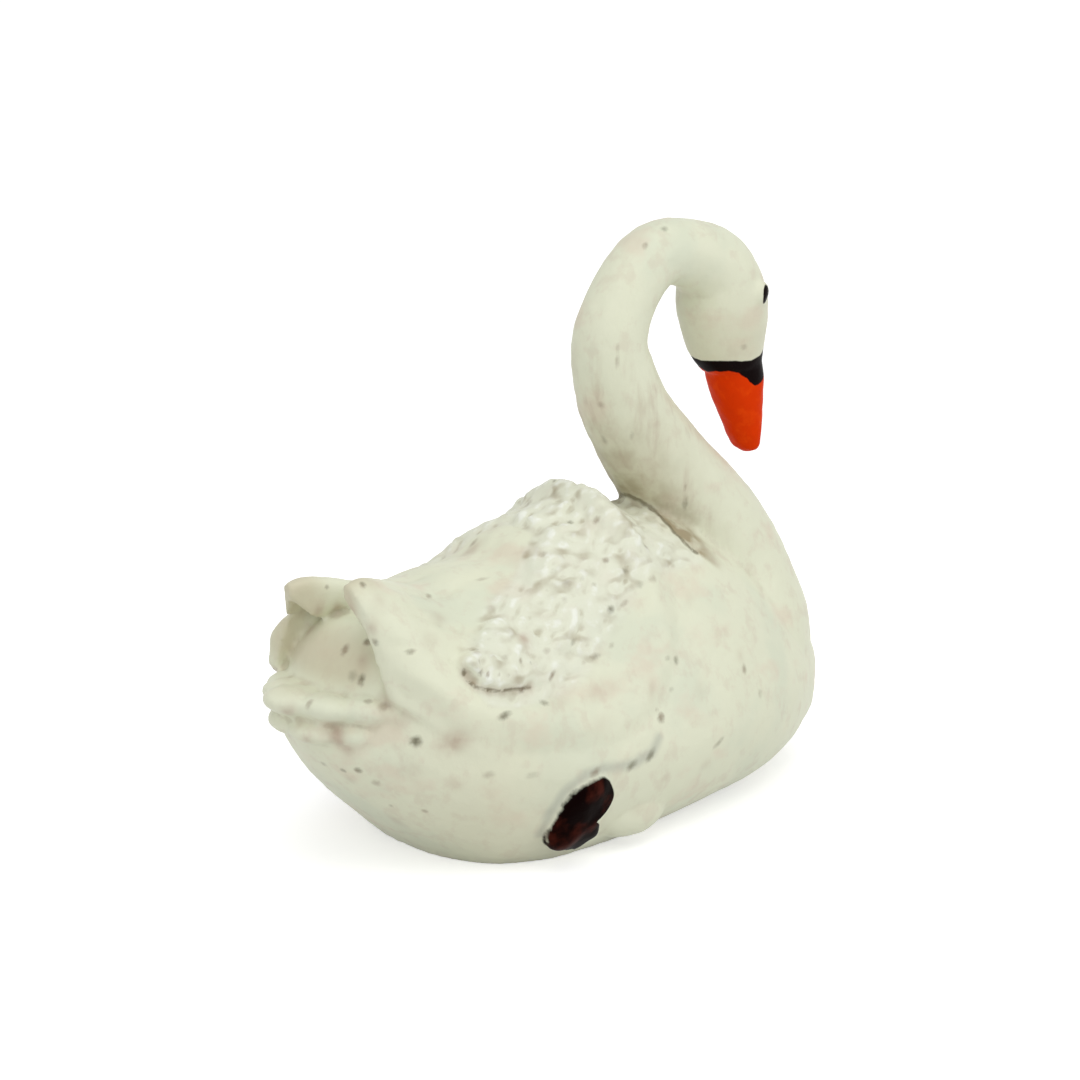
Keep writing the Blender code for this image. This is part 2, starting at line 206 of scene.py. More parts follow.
def mantle(along, across):
    """Product of two soft steps: one ahead of the rear edge, which bulges in small arcs, and
    one above the lower edge. Each is narrow where the edge shows and wide where it fades."""
    rear = through(MANTLE_REAR, across) - 0.008 * np.abs(np.sin(across * 9 * np.pi))
    low = through(MANTLE_LOW, along)
    behind = step(0, 1, 0.5 + (along - rear) / (0.012 + 0.1 * bell(0.3, 0.13, across)))
    beneath = step(0, 1, 0.5 + (low - across) / (0.04 + 0.12 * step(-0.24, -0.1, along)))
    return behind * beneath


def feather_ends(back, down, size):
    """Rows of half-ellipsoid bumps on a brick pattern. Each is moved, shrunk and worn by its
    own fixed chance, and where two cross, the higher one shows."""
    row, height = np.floor(back / size), np.zeros_like(back)
    for k in (-1, 0, 1):
        shift = 0.5 * ((row + k) % 2) * size
        column = np.round((down - shift) / size)
        for m in (-1, 0, 1):
            luck = chance(row + k, column + m)
            centre_back = (row + k + 0.5 + 0.5 * (luck - 0.5)) * size
            centre_down = column + m + 0.5 * (chance(column + m, row + k) - 0.5)
            away = down - (centre_down * size + shift)
            reach = np.hypot((back - centre_back) / (0.78 * size), away / (0.6 * size))
            bump = (0.55 + 0.45 * luck) * np.sqrt(np.clip(1 - reach**2, 0, 1))
            height = np.maximum(height, bump)
    return height


def wing_relief(along, across, arc):
    """Mantle: its step plus the feather ends. Elsewhere: shallow lines between the long
    feathers, and a ridge with a hollow below it along the fold."""
    cover = mantle(along, across)
    margin = 1 - 0.6 * step(0, 0.12, along - through(MANTLE_REAR, across))
    ends = feather_ends(-along * LENGTH, arc, FEATHER) * step(0.17, 0.02, along)
    sway = 0.02 * np.sin(along * 40)
    lines = sum(-bell(place + sway, 0.016, across) for place in (0.17, 0.34, 0.52))
    lines = lines * step(-0.12, -0.24, along)
    fold = (bell(0.7, 0.06, across) - bell(0.85, 0.07, across)) * step(-0.1, -0.26, along)
    fold = fold * step(-0.465, -0.43, along)
    corner = 0.6 * bell(0.54, 0.11, across) * step(-0.12, -0.26, along)
    ledge = (0.12 + 0.6 * bell(0, 0.11, across) + corner) * margin * step(0.1, 0.0, along)
    raised = cover * (MANTLE_STEP * ledge + FEATHER_RELIEF * ends)
    return raised + (1 - cover) * (LINE_RELIEF * lines + FOLD_RELIEF * fold)


# %% [markdown]
# ## The wings
#
# A folded wing is a curved shell that starts inside the shoulder and ends free above the
# tail, so that a hollow opens between the two tips. Each ring goes down the outer face and
# back up the inner one. The relief is added to the outer face only.

# %% Wing surface
WING = thousandths(
    (191, 122, 785, 250, 653, 22), (136, 65, 845, 315, 593, 49), (68, 0, 900, 380, 519, 65),
    (22, -20, 962, 417, 440, 74), (0, -30, 920, 432, 390, 78), (-35, -30, 895, 448, 334, 80),
    (-75, -30, 880, 455, 303, 80), (-113, -30, 862, 457, 291, 80), (-140, -30, 822, 453, 293, 80),
    (-170, -30, 810, 447, 298, 80), (-215, -30, 812, 432, 310, 80), (-272, -20, 793, 404, 350, 82),
    (-340, 22, 807, 346, 424, 82), (-380, 65, 825, 300, 490, 82), (-420, 100, 838, 250, 545, 75),
    (-441, 112, 845, 228, 580, 35),
)
TIP_FEATHER_LENGTH, TIP_FEATHER_SWELL, TIP_NOTCH, TIP_LIFT = 0.0055, 0.0011, 0.0022, 0.002
ALMOST_QUARTER = 0.499 * np.pi


def wing_edges(along):
    """The table read at each place: upper edge (y, z), lower edge (y, z) and thickness."""
    return (through(WING[::-1], along) * (WIDTH, BACK_HEIGHT, WIDTH, BACK_HEIGHT, WIDTH)).T


def wing_surface(side, rows, steps):
    """Middle sheet: a quarter of an oval from the upper to the lower edge at each place along.
    The outer face is that sheet plus its normal times half the thickness and the relief. The
    inner face is the sheet less half the thickness, with swellings where tip feathers end.
    Both faces close at the edges, and the lower front edge is thinned to sink into the body."""
    tip = WING[-1, 0]
    along = np.linspace(tip, WING[0, 0], rows)
    y_top, z_top, y_low, z_low, thick = wing_edges(along)[:, :, None]
    right = 0.5 - 0.5 * side
    z_top = z_top + TIP_LIFT * right * step(-0.25, -0.43, along)[:, None]
    across = np.linspace(0, 1, steps)[None, :]
    turn = across * ALMOST_QUARTER
    y = y_top + (y_low - y_top) * np.sin(turn)
    z = z_low + (z_top - z_low) * np.cos(turn) ** DOME
    out = (z_top - z_low) * np.sin(turn) * DOME * np.cos(turn) ** (DOME - 1)
    up = (y_low - y_top) * np.cos(turn)
    out, up = out / np.hypot(out, up), up / np.hypot(out, up)
    edge = np.sqrt(np.clip(1 - np.abs(2 * across - 1) ** 12, 0, 1))
    sunk = 1 - 0.8 * step(0.74, 1, across) * step(-0.44, -0.35, along)[:, None]
    sunk = sunk * (1 - 0.9 * step(0.3, 0.9, across) * step(-0.03, 0.1, along)[:, None])
    half = 0.5 * thick * edge * sunk
    pieces = (np.diff(part, axis=1, prepend=part[:, :1]) for part in (y, z))
    arc = np.cumsum(np.hypot(*pieces), axis=1)
    place, across = np.broadcast_arrays(along[:, None], across)
    raised = wing_relief(place, across, arc) * edge * step(tip, tip + 0.01, place)
    fingers = np.abs(np.sin(np.pi * (place - tip) * LENGTH / TIP_FEATHER_LENGTH))
    fingers = TIP_FEATHER_SWELL * fingers * bell(0.2, 0.22, across)
    inside = half + fingers * step(-0.27, -0.35, place)
    worn = (1 - right) * (2 * bell(0.4, 0.15, across) + 0.45 * step(0.3, 0.6, across))
    worn = worn + right * 1.05 * step(0.1, 0.95, across)
    x = place * LENGTH + TIP_NOTCH * worn * step(-0.32, -0.44, place)
    outer = np.stack([x, y + out * (half + raised), z + up * (half + raised)], -1)
    inner = np.stack([x, y - out * inside, z - up * inside], -1)
    return np.concatenate([outer, inner[:, -2:0:-1]], axis=1) * (1, side, 1)


print("wing rings:", wing_surface(1, 200, 120).shape)

# %% [markdown]
# ## Tail, thighs, feet and eyes
#
# The tail is a stack of blunt feathers. A foot lies back against each flank, and above it
# the thigh makes a soft lump. The eye is a small bead. Each is a simple closed surface
# pushed part of the way into the body.

# %% Tail feather, dome and ellipsoid surfaces
TAIL_ROOT = (-0.28, 0.0, 0.46)
TAIL_TIPS = thousandths(
    (-524, 0, 575), (-494, 90, 565), (-495, -100, 565), (-460, 170, 550), (-450, -180, 555),
    (-498, 50, 485), (-500, -55, 480), (-468, 130, 465), (-460, -140, 470), (-448, 0, 415),
    (-410, 90, 400), (-410, -90, 400),
)
TAIL_FEATHER_WIDTH = 0.0064


def tail_feather(tip, rows=40, around=32):
    """Ovals along a straight line; their size grows from 0.6 of the full one and falls to
    nothing over the last fifth as a quarter circle."""
    scale = np.array((LENGTH, WIDTH, BACK_HEIGHT))
    root, tip = np.array(TAIL_ROOT) * scale, tip * scale
    t = 1 - (1 - np.linspace(0, 1, rows)) ** 2
    swell = (0.6 + 0.4 * t) * np.sqrt(1 - np.clip((t - 0.8) / 0.2, 0, 1) ** 2)
    ahead = (tip - root) / np.linalg.norm(tip - root)
    side = np.cross((0, 0, 1), ahead)
    side = side / np.linalg.norm(side)
    angle = full_turn(around)
    oval = np.cos(angle)[:, None] * side + 0.5 * np.sin(angle)[:, None] * np.cross(ahead, side)
    middle = root + (tip - root) * t[:, None]
    return middle[:, None] + (swell * TAIL_FEATHER_WIDTH / 2)[:, None, None] * oval


def dome(centre, axes, outline, height, ridges=0.0, rings=24, around=96):
    """Outline times the sine of the polar angle in the plane of the first two axes, and
    height times its cosine along the third; ridges fan out from the middle."""
    turn = np.linspace(0, 1, around, endpoint=False)
    polar = np.linspace(0, np.pi, 2 * rings)[:, None]
    radius = np.sin(polar) * outline(turn)
    fan = 1 + ridges * np.sin(polar) * np.cos(6 * np.pi * turn + 0.6)
    lift = height * np.cos(polar) * fan
    flat = radius * np.cos(2 * np.pi * turn), radius * np.sin(2 * np.pi * turn), lift
    return np.array(centre) + sum(part[..., None] * axis for part, axis in zip(flat, axes))


# %% Feet and eyes set in place
FOOT_WIDTH = 0.0084
FOOT_OUTLINE = thousandths(
    (-170, 500), (-115, 510), (-80, 400), (-24, 340), (12, 400), (57, 540), (126, 550), (192, 600),
    (278, 540), (355, 500), (467, 440), (561, 500), (608, 510), (688, 450), (769, 475),
)
FOOT_PLACE, FOOT_TILT = (-0.1655, 0.442, 0.155), -0.4
EYE_ANGLE, EYE_LEVEL, EYE_DIAMETER = 1.19, 0.857, 0.0026


def foot_frame(side):
    """Centre of the foot and its axes: forward, up along the flank, and out of the flank."""
    centre = np.array(FOOT_PLACE) * (LENGTH, side * WIDTH, BACK_HEIGHT)
    up = np.array([0, -FOOT_TILT * side, 1]) / np.hypot(1, FOOT_TILT)
    out = np.array([0, side, FOOT_TILT]) / np.hypot(1, FOOT_TILT)
    return centre, (np.array([1.0, 0, 0]), up, out)


def foot_reach(turn):
    """Distance from the middle of the foot to its edge, read from the outline's table."""
    turn = np.where(turn > FOOT_OUTLINE[-1, 0], turn - 1, turn)
    return through(FOOT_OUTLINE, turn) * FOOT_WIDTH


def eye_frame(side):
    """Centre of the eye on the skin of the head and its axes: forward, up and out."""
    head = NECK[:-7:-1, (1, 0, 2, 3)]
    middle, deep, wide = through(head, EYE_LEVEL)
    c, s = np.cos(EYE_ANGLE), side * np.sin(EYE_ANGLE)
    rim = np.array([c * deep, s * wide, 0]) * HEAD_WIDTH
    centre = np.array([middle * LENGTH, 0, EYE_LEVEL * HEIGHT]) + rim
    return centre, (np.array([-s, c, 0]), np.array([0, 0, 1.0]), np.array([c, s, 0]))


for label, place in (("foot", foot_frame), ("eye", eye_frame)):
    print(f"centre of the right {label}, mm:", np.round(place(-1)[0] * 1000, 1))

# %% [markdown]
# ## One skin from many surfaces
#
# The surfaces cross each other freely. Booleans could join them, but would leave hard
# seams. A voxel remesh fills the whole with small cubes and wraps it in a new skin, which
# melts the crossings as a coat of paint does. A few smoothing passes soften it.


# %% Surfaces to one mesh
def closed_skin(rings):
    """Quads between neighbouring rings and a fan of triangles at each end, all turned over
    if the volume they enclose comes out negative."""
    rows, around, _ = rings.shape
    points = np.concatenate([rings.reshape(-1, 3), rings[:1].mean(axis=1), rings[-1:].mean(axis=1)])
    j = np.arange(around)
    k = (j + 1) % around
    start = np.arange(rows - 1)[:, None] * around
    quads = [start + j, start + k, start + around + k, start + around + j]
    quads = np.stack(quads, -1).reshape(-1, 4)
    last = (rows - 1) * around
    first_fan = np.stack([np.full(around, rows * around), k, j], -1)
    last_fan = np.stack([np.full(around, rows * around + 1), last + j, last + k], -1)
    fans = np.concatenate([first_fan, last_fan])
    halves = np.concatenate([quads[:, :3], quads[:, (0, 2, 3)], fans])
    if np.linalg.det(points[halves]).sum() < 0:
        quads, fans = quads[:, ::-1], fans[:, ::-1]
    return points, quads, fans


def object_from(name, skins):
    """One mesh object that holds several closed skins."""
    points, faces, start = [], [], 0
    for p, quads, fans in skins:
        points.append(p)
        faces += (quads + start).tolist() + (fans + start).tolist()
        start += len(p)
    mesh = bpy.data.meshes.new(name)
    mesh.from_pydata(np.concatenate(points).tolist(), [], faces)
    made = bpy.data.objects.new(name, mesh)
    bpy.context.scene.collection.objects.link(made)
    return made


THIGH_PLACE, THIGH_REACH = (-0.054, 0.388, 0.118), (0.066, 0.078, 0.087)
surfaces = [body_surface(200, 160), bent_tube(NECK, HEAD_WIDTH, 300, 110)]
surfaces.append(bent_tube(BILL, BILL_WIDTH, 90, 80))
surfaces += [tail_feather(tip) for tip in TAIL_TIPS]
bead = partial(np.full_like, fill_value=EYE_DIAMETER / 2)
for side in (-1, 1):
    thigh = np.array(THIGH_PLACE) * (LENGTH, side * WIDTH, BACK_HEIGHT)
    axes = np.diag(np.array(THIGH_REACH) * (LENGTH, WIDTH, BACK_HEIGHT))
    surfaces += [
        wing_surface(side, 240, 150),
        dome(*foot_frame(side), foot_reach, 0.14 * FOOT_WIDTH, 0.3),
        dome(*eye_frame(side), bead, 0.2 * EYE_DIAMETER),
        dome(thigh, axes, np.ones_like, 1.0),
    ]
casting = object_from("swan_casting", [closed_skin(rings) for rings in surfaces])
print("loose surfaces:", len(surfaces), "faces:", len(casting.data.polygons))

# %% Fusing and softening the skin
def read(items, what, width=3, kind=np.float32):
    """One array, a row per item, of numbers that a mesh keeps."""
    values = np.empty(len(items) * width, kind)
    items.foreach_get(what, values)
    return values.reshape(-1, width)


GRAIN = 0.000362
fuse = casting.modifiers.new("fuse", "REMESH")
fuse.mode = "VOXEL"
fuse.voxel_size = GRAIN
soften = casting.modifiers.new("soften", "SMOOTH")
soften.factor = 0.5
soften.iterations = 2
evaluated = casting.evaluated_get(bpy.context.evaluated_depsgraph_get())
fused = bpy.data.meshes.new_from_object(evaluated)
casting.modifiers.clear()
casting.data = fused
fused.name = "swan_casting"


def drop_bubbles(mesh):
    """Keeps the largest skin and drops small ones left inside it. Every vertex takes the
    lowest number among its own and its neighbours' until all of one skin share a number."""
    a, b = read(mesh.edges, "vertices", 2, np.int32).T
    corners = read(mesh.loops, "vertex_index", 1, np.int32).reshape(-1, 4)
    places = read(mesh.vertices, "co")
    number, before = np.arange(len(mesh.vertices)), None
    while before is None or (number != before).any():
        before = number
        number = number.copy()
        np.minimum.at(number, a, before[b])
        np.minimum.at(number, b, before[a])
        number = number[number]
    kept = number == np.bincount(number).argmax()
    moved = (np.cumsum(kept) - 1)[corners[kept[corners[:, 0]]]]
    mesh.clear_geometry()
    mesh.from_pydata(places[kept].tolist(), [], moved.tolist())
    return int((~kept).sum())


print("bubble vertices dropped:", drop_bubbles(fused))
print("skin vertices:", len(fused.vertices), "faces:", len(fused.polygons))

# %% [markdown]
# ## Lumps of the casting
#
# Resin is never quite smooth: the skin swells and dips by less than a tenth of a
# millimetre. A Displace modifier would do it, but the paint needs the same array of points
# afterwards, so a few crossed waves are added in numpy.


# %% Waves over the skin, and the flat underside
def waves(points, size, seed):
    """Mean of ten sine waves of nearly one length in fixed random directions, times 3."""
    rng = np.random.default_rng(seed)
    way = rng.normal(size=(10, 3))
    way = way / np.linalg.norm(way, axis=1)[:, None] * rng.uniform(0.7, 1.3, (10, 1))
    way = way * 2 * np.pi / size
    return np.sin(points @ way.T + rng.uniform(0, 2 * np.pi, 10)).mean(axis=1) * 3.0


def under_mantle(places):
    """How much each place is covered by the mantle. The wing's oval is read backwards: the
    sine and cosine that would give this y and z give the place across the wing."""
    along = places[:, 0] / LENGTH
    y_top, z_top, y_low, z_low = wing_edges(along)[:4]
    sine = np.clip((np.abs(places[:, 1]) - y_top) / (y_low - y_top), 0, 1)
    cosine = np.clip((places[:, 2] - z_low) / (z_top - z_low), 0, 1) ** (1 / DOME)
    across = np.arctan2(sine, cosine) / ALMOST_QUARTER
    cover = mantle(along + 0.05 * bell(0.28, 0.16, across), 0.9 * across)
    return step(0.04, 0.6, cover) * step(0.19, 0.14, along)


CREASE = (
    (9.6, 1.0, 31.5), (9.6, -0.4, 31.4), (9.9, -1.4, 31.1), (10.3, -2.2, 30.6), (10.6, -3, 30),
    (10.4, -4.2, 29.6), (10.3, -5.2, 29.2), (10.2, -6.3, 28.6), (10.4, -7, 28.1),
    (10.7, -8.2, 27.1), (11.3, -8.6, 26.7),
)


def past_crease(places):
    """How far each place lies ahead of and above the crease between mantle and neck, where
    the crease is read at the same distance from the middle plane."""
    x, y, z = np.array(CREASE)[::-1].T / 1000
    aside = -np.abs(places[:, 1])
    ahead = places[:, 0] - np.interp(aside, y, x) + places[:, 2] - np.interp(aside, y, z)
    return ahead / np.sqrt(2)


points = read(fused.vertices, "co").astype(float)
normals = read(fused.vertex_normals, "vector").astype(float)
feathered = under_mantle(points) * step(0.0001, -0.0006, past_crease(points))
feathered = feathered * step(0.37, 0.42, points[:, 2] / BACK_HEIGHT)
LONG_WAVE, SHORT_WAVE, LONG_SWELL, SHORT_SWELL, LUMP_SWELL = 0.006, 0.0016, 4e-5, 2e-5, 6e-5
swell = LONG_SWELL * waves(points, LONG_WAVE, 1)
swell = swell + (SHORT_SWELL + LUMP_SWELL * feathered) * waves(points, SHORT_WAVE, 2)
points = points + normals * swell[:, None]
points[:, 2] = np.maximum(points[:, 2], 0)
fused.vertices.foreach_set("co", points.astype(np.float32).ravel())
fused.update()
print("skin spans, mm:", np.round(np.ptp(points, axis=0) * 1000, 1))
print("share under the mantle:", round(float(feathered.mean()), 3))

# %% [markdown]
# ## Where the paint goes
#
# A painter follows the forms: the bill changes colour on a curved line, the wash stays in
# hollows, and painted shade is laid into the same hollows. Masks could be painted by hand,
# but a signed distance to each border, stored at every vertex, gives a sharp line between
# the vertices too. Hollows are found by comparing the skin with a smoothed copy of itself.


# %% Hollows of the skin at two sizes
def smoothed(values, ends, rounds):
    """Each vertex takes the mean of itself and its neighbours, over and over."""
    a, b = ends.T
    count = len(values)
    degree = np.bincount(ends.ravel(), minlength=count)[:, None]
    for _ in range(rounds):
        total = [np.bincount(a, v[b], count) + np.bincount(b, v[a], count) for v in values.T]
        values = 0.5 * values + 0.5 * np.stack(total, 1) / degree
    return values


ends = read(fused.edges, "vertices", 2, np.int32)
normals = read(fused.vertex_normals, "vector").astype(float)
fine = smoothed(points, ends, 6)
broad = smoothed(fine, ends, 42)
FINE_DEPTH, BROAD_DEPTH = 0.00005, 0.0004
hollow_fine = ((fine - points) * normals).sum(axis=1) / FINE_DEPTH
hollow_broad = ((broad - points) * normals).sum(axis=1) / BROAD_DEPTH
for label, values in (("fine", hollow_fine), ("broad", hollow_broad)):
    print(f"hollow, {label}:", np.round(np.percentile(values, (2, 50, 98)), 2))

# %% Borders of the bill, eyes and feet
x, y, z = points.T
BILL_ROOT, UP_BILL, BILL_FRONT = (0.024, 0, 0.044), (-0.26, 0, 0.966), (0.966, 0, 0.26)
on_bill = points - BILL_ROOT
level = on_bill @ UP_BILL
round_bill = np.arctan2(np.abs(y), on_bill @ BILL_FRONT)
# Each row: the angle round the bill from its front, and the height of the border there in mm.
BLACK_EDGE = (
    (0, 1.7), (0.4, 1.4), (0.8, 0.7), (1.2, 0.3), (1.6, 0.34), (1.81, 0.55), (1.985, 0.83),
    (2.26, 1.19), (2.53, 1.37), (2.81, 1.43), (3.15, 1.36),
)
ORANGE_EDGE = (
    (0, -2.2), (0.8, -2.6), (1.36, -2.9), (1.55, -2.82), (1.745, -2.03), (1.83, -1.44), (2.0, -0.9),
    (2.16, -0.43), (2.38, -0.17), (2.57, -0.07), (2.8, -0.09), (3.15, -0.38),
)
black_top = np.interp(round_bill, *np.array(BLACK_EDGE).T) / 1000 - level
orange_top = np.interp(round_bill, *np.array(ORANGE_EDGE).T) / 1000 - level
BILL_LOWEST, BILL_HIGHEST, BILL_REAR, REAR_SLANT, SLANT_TOP = 0.0325, 0.048, 0.0155, 0.8, 0.043
beside_bill = x > BILL_REAR + REAR_SLANT * np.maximum(SLANT_TOP - z, 0)
beside_bill = beside_bill & (z > BILL_LOWEST) & (z < BILL_HIGHEST)
black_top, orange_top = (np.where(beside_bill, top, top - 1) for top in (black_top, orange_top))
EYE_REACH, EYE_NARROWING, FOOT_PAINT_DEPTH = 0.00108, 1.45, 0.0016
# Where the foot's edge stays bare: the share of its reach, the place round it, the spread.
BARE_EDGES = ((0.58, 0.015, 0.06), (0.22, -0.14, 0.07))
eye_border, foot_border = np.full((2, len(points)), -1.0)
for side in (-1, 1):
    centre, (ahead, up, out) = eye_frame(side)
    seen = points - centre
    reach = np.hypot(np.hypot(seen @ ahead * EYE_NARROWING, seen @ up), seen @ out)
    eye_border = np.maximum(eye_border, EYE_REACH - reach)
    centre, (ahead, up, out) = foot_frame(side)
    seen = points - centre
    turn = (np.arctan2(seen @ up, seen @ ahead) / (2 * np.pi)) % 1
    turn = np.where(turn > FOOT_OUTLINE[-1, 0], turn - 1, turn)
    gap = sum(share * bell(place, spread, turn) for share, place, spread in BARE_EDGES)
    edge = foot_reach(turn) * (1 - gap) - np.hypot(seen @ up, seen @ ahead)
    foot_border = np.maximum(foot_border, np.minimum(edge, seen @ out + FOOT_PAINT_DEPTH))
for label, edge in (("bill", orange_top), ("eyes", eye_border), ("feet", foot_border)):
    print("painted vertices,", label, int((edge > 0).sum()))

# %% Pits, and stains that are partly painted shade, listed where they show and by chance elsewhere
# Each row: x, y and z in tenths of a millimetre; size, slant, stretch and depth in hundredths.
PITS = (
    (-309, -55, 310, 32, 140, 75, 75), (-288, -35, 243, 38, 0, 20, 80),
    (-312, -76, 257, 36, 0, 30, 60), (-302, -18, 234, 40, 150, 75, 65),
    (-308, -50, 211, 34, 150, 75, 85), (-311, -40, 214, 50, 220, 60, 35),
    (-315, -68, 195, 36, 220, 60, 55), (-304, -79, 190, 40, 10, 70, 50),
    (-212, -39, 275, 32, 80, 60, 50), (-360, -33, 195, 30, 90, 70, 50),
    (-286, -98, 247, 26, -10, 85, 55), (-282, -101, 155, 48, 10, 40, 100),
    (-322, -37, 118, 30, 0, 0, 65), (-317, -54, 121, 36, 0, 20, 75), (-328, -14, 120, 34, 0, 0, 35),
    (-302, -63, 107, 40, 0, 0, 40), (-280, -59, 77, 24, 0, 0, 35), (-262, -90, 76, 30, 0, 30, 50),
    (-211, -108, 237, 30, 30, 40, 50), (-218, -124, 230, 18, 100, 85, 60),
    (-222, -128, 218, 19, 95, 85, 70), (-215, -133, 219, 20, 95, 87, 80),
    (-201, -134, 217, 17, 100, 87, 55), (-190, -136, 215, 19, 95, 87, 65),
    (-168, -127, 220, 20, 95, 87, 60), (-158, -130, 215, 16, 100, 85, 40),
    (-136, -138, 200, 24, 75, 88, 65), (-97, -127, 225, 21, 80, 87, 60),
    (-132, -126, 223, 30, 50, 50, 35), (-185, -123, 226, 30, 40, 60, 35),
    (-156, -148, 178, 28, -55, 80, 60), (-206, -146, 176, 33, 15, 80, 85),
    (-176, -137, 194, 30, 20, 40, 70), (-19, -36, 314, 30, 0, 20, 75),
    (-7, 43, 316, 36, 20, 50, 45), (1, 15, 331, 28, 50, 60, 65), (2, -52, 316, 34, 120, 50, 50),
    (-18, -88, 285, 30, 0, 30, 60), (-4, -102, 274, 30, 120, 50, 55),
    (-41, -119, 244, 36, 30, 50, 85), (-19, -118, 247, 24, 45, 87, 45),
    (-80, -139, 208, 30, 10, 75, 50), (20, -153, 186, 30, 120, 60, 60),
    (8, -153, 191, 26, 20, 50, 40), (22, -115, 263, 36, 10, 50, 35),
    (36, -91, 291, 34, 100, 30, 55), (-75, -91, 272, 40, 0, 20, 35),
    (-85, -102, 262, 30, 90, 60, 45), (-45, -101, 269, 26, 100, 60, 35),
    (-57, -104, 265, 20, 50, 85, 35), (-55, -94, 275, 24, 30, 60, 35),
    (-74, -55, 296, 32, 80, 50, 40), (-78, -77, 286, 30, 120, 70, 30),
    (-140, -37, 278, 26, 0, 85, 35), (-55, -137, 214, 25, 50, 50, 30),
    (5, -114, 260, 30, 20, 50, 30), (-19, -172, 138, 40, 130, 30, 75),
    (-22, -169, 147, 20, 120, 40, 40), (-41, -180, 105, 34, 80, 75, 75),
    (-66, -179, 100, 34, 50, 75, 65), (-113, -176, 103, 32, 40, 80, 60),
    (114, -156, 157, 34, 140, 60, 55), (133, -161, 128, 30, 140, 60, 30),
    (57, -178, 96, 26, 50, 90, 45), (-225, -143, 118, 34, 0, 80, 35),
    (-183, -160, 112, 30, 0, 88, 25), (3, -164, 161, 24, 50, 50, 30),
    (129, -16, 595, 34, 80, 40, 50), (100, -18, 582, 26, 120, 75, 45),
    (47, -34, 471, 22, 150, 88, 40), (48, -33, 485, 18, 150, 88, 30),
    (40, -18, 424, 34, 30, 50, 30), (53, -9, 383, 32, 230, 60, 40), (66, -36, 391, 22, 150, 87, 25),
    (131, -49, 309, 28, 150, 87, 60), (129, -51, 327, 17, 150, 90, 35),
    (223, -40, 460, 30, 0, 40, 35),
)
# Stains, some of them painted shade in folds and hollows.
STAINS_AND_SHADE = (
    (-338, -48, 161, 80, 200, 75, 90), (-329, -52, 147, 70, 140, 50, 65),
    (-374, -17, 184, 70, 120, 60, 50), (-153, -115, 237, 60, 150, 70, 80),
    (-253, -126, 155, 100, 50, 80, 80), (-259, -122, 144, 60, 0, 0, 30),
    (-275, 28, 260, 50, 160, 85, 70), (-290, 64, 252, 32, 160, 80, 45),
    (-228, -72, 263, 80, 10, 50, 30), (-251, -126, 109, 60, 0, 30, 25),
    (-284, -97, 125, 90, -30, 50, 25), (-25, -164, 167, 50, 120, 85, 30),
    (-20, -178, 75, 40, 30, 50, 25), (39, -176, 75, 60, 20, 40, 25),
    (-87, -155, 178, 90, 20, 80, 20), (68, -122, 233, 70, 100, 60, 15),
    (-300, -70, 296, 80, 130, 60, 25), (-320, -52, 288, 60, 140, 80, 40),
    (-314, -75, 272, 60, 130, 60, 35), (-301, -43, 227, 60, 150, 70, 50),
    (-301, -78, 194, 80, 60, 60, 45), (-293, -87, 174, 80, 30, 60, 30),
    (-294, 33, 261, 50, 140, 70, 40), (-361, -31, 157, 60, 20, 40, 35),
    (-361, -19, 172, 50, 80, 50, 40), (-313, -37, 106, 60, 10, 50, 25),
    (-137, -150, 178, 100, 20, 70, 20), (41, -166, 153, 70, 120, 50, 20),
    (113, -151, 171, 60, 90, 50, 25), (-99, -168, 147, 90, 40, 60, 15),
    (-257, -94, 252, 80, 20, 60, 20), (-262, -44, 53, 80, -20, 70, 25),
    (-46, -170, 46, 70, 10, 60, 20),
)


def spots(table):
    """For every vertex, the least distance to a spot over that spot's size, and its depth.
    Distance along the spot's slant counts for less by its stretch."""
    nearest, strength = np.full(len(points), 9.0), np.zeros(len(points))
    for row in table:
        size, (slant, stretch, depth) = row[3] / 1000, row[4:]
        away = points - row[:3] / 1000
        near = np.flatnonzero(np.abs(away).max(axis=1) < 5 * size)
        away = away[near]
        ahead = away @ (np.cos(slant), 0.0, np.sin(slant))
        reach = np.sqrt(np.maximum((away**2).sum(axis=1) - stretch * ahead**2, 0)) / size
        closer = reach < nearest[near]
        nearest[near[closer]] = reach[closer]
        strength[near[closer]] = depth
    return nearest, strength


def with_chances(table, count, least, most):
    """The table, and rows at chance vertices of the side that doesn't show, each number
    by chance between the least and the most."""
    chosen = points[rng.choice(hidden, count, replace=False)] * 1000
    more = np.concatenate([chosen, rng.uniform(least, most, (count, 4))], axis=1)
    return np.concatenate([np.array(table) / (10, 10, 10, 100, 100, 100, 100), more])


rng = np.random.default_rng(4)
hidden = np.flatnonzero((y > 0.002) & (z > 0.003) & (z < 0.05) & (orange_top < -0.003))
every_pit = with_chances(PITS, 52, (0.18, -0.4, 0.2, 0.3), (0.36, 1.2, 0.85, 0.8))
every_stain_and_shade = with_chances(STAINS_AND_SHADE, 12, (0.4, -0.2, 0.2, 0.2), (0.9, 1.6, 0.8, 0.6))
pit, pit_depth = spots(every_pit)
stain_and_shade, stain_and_shade_depth = spots(every_stain_and_shade)
stain_and_shade = np.exp(-(stain_and_shade**2)) * stain_and_shade_depth
print("pits:", len(every_pit), "vertices in them:", int((pit < 1).sum()))
print("stains:", len(every_stain_and_shade), "vertices stained:", int((stain_and_shade > 0.2).sum()))
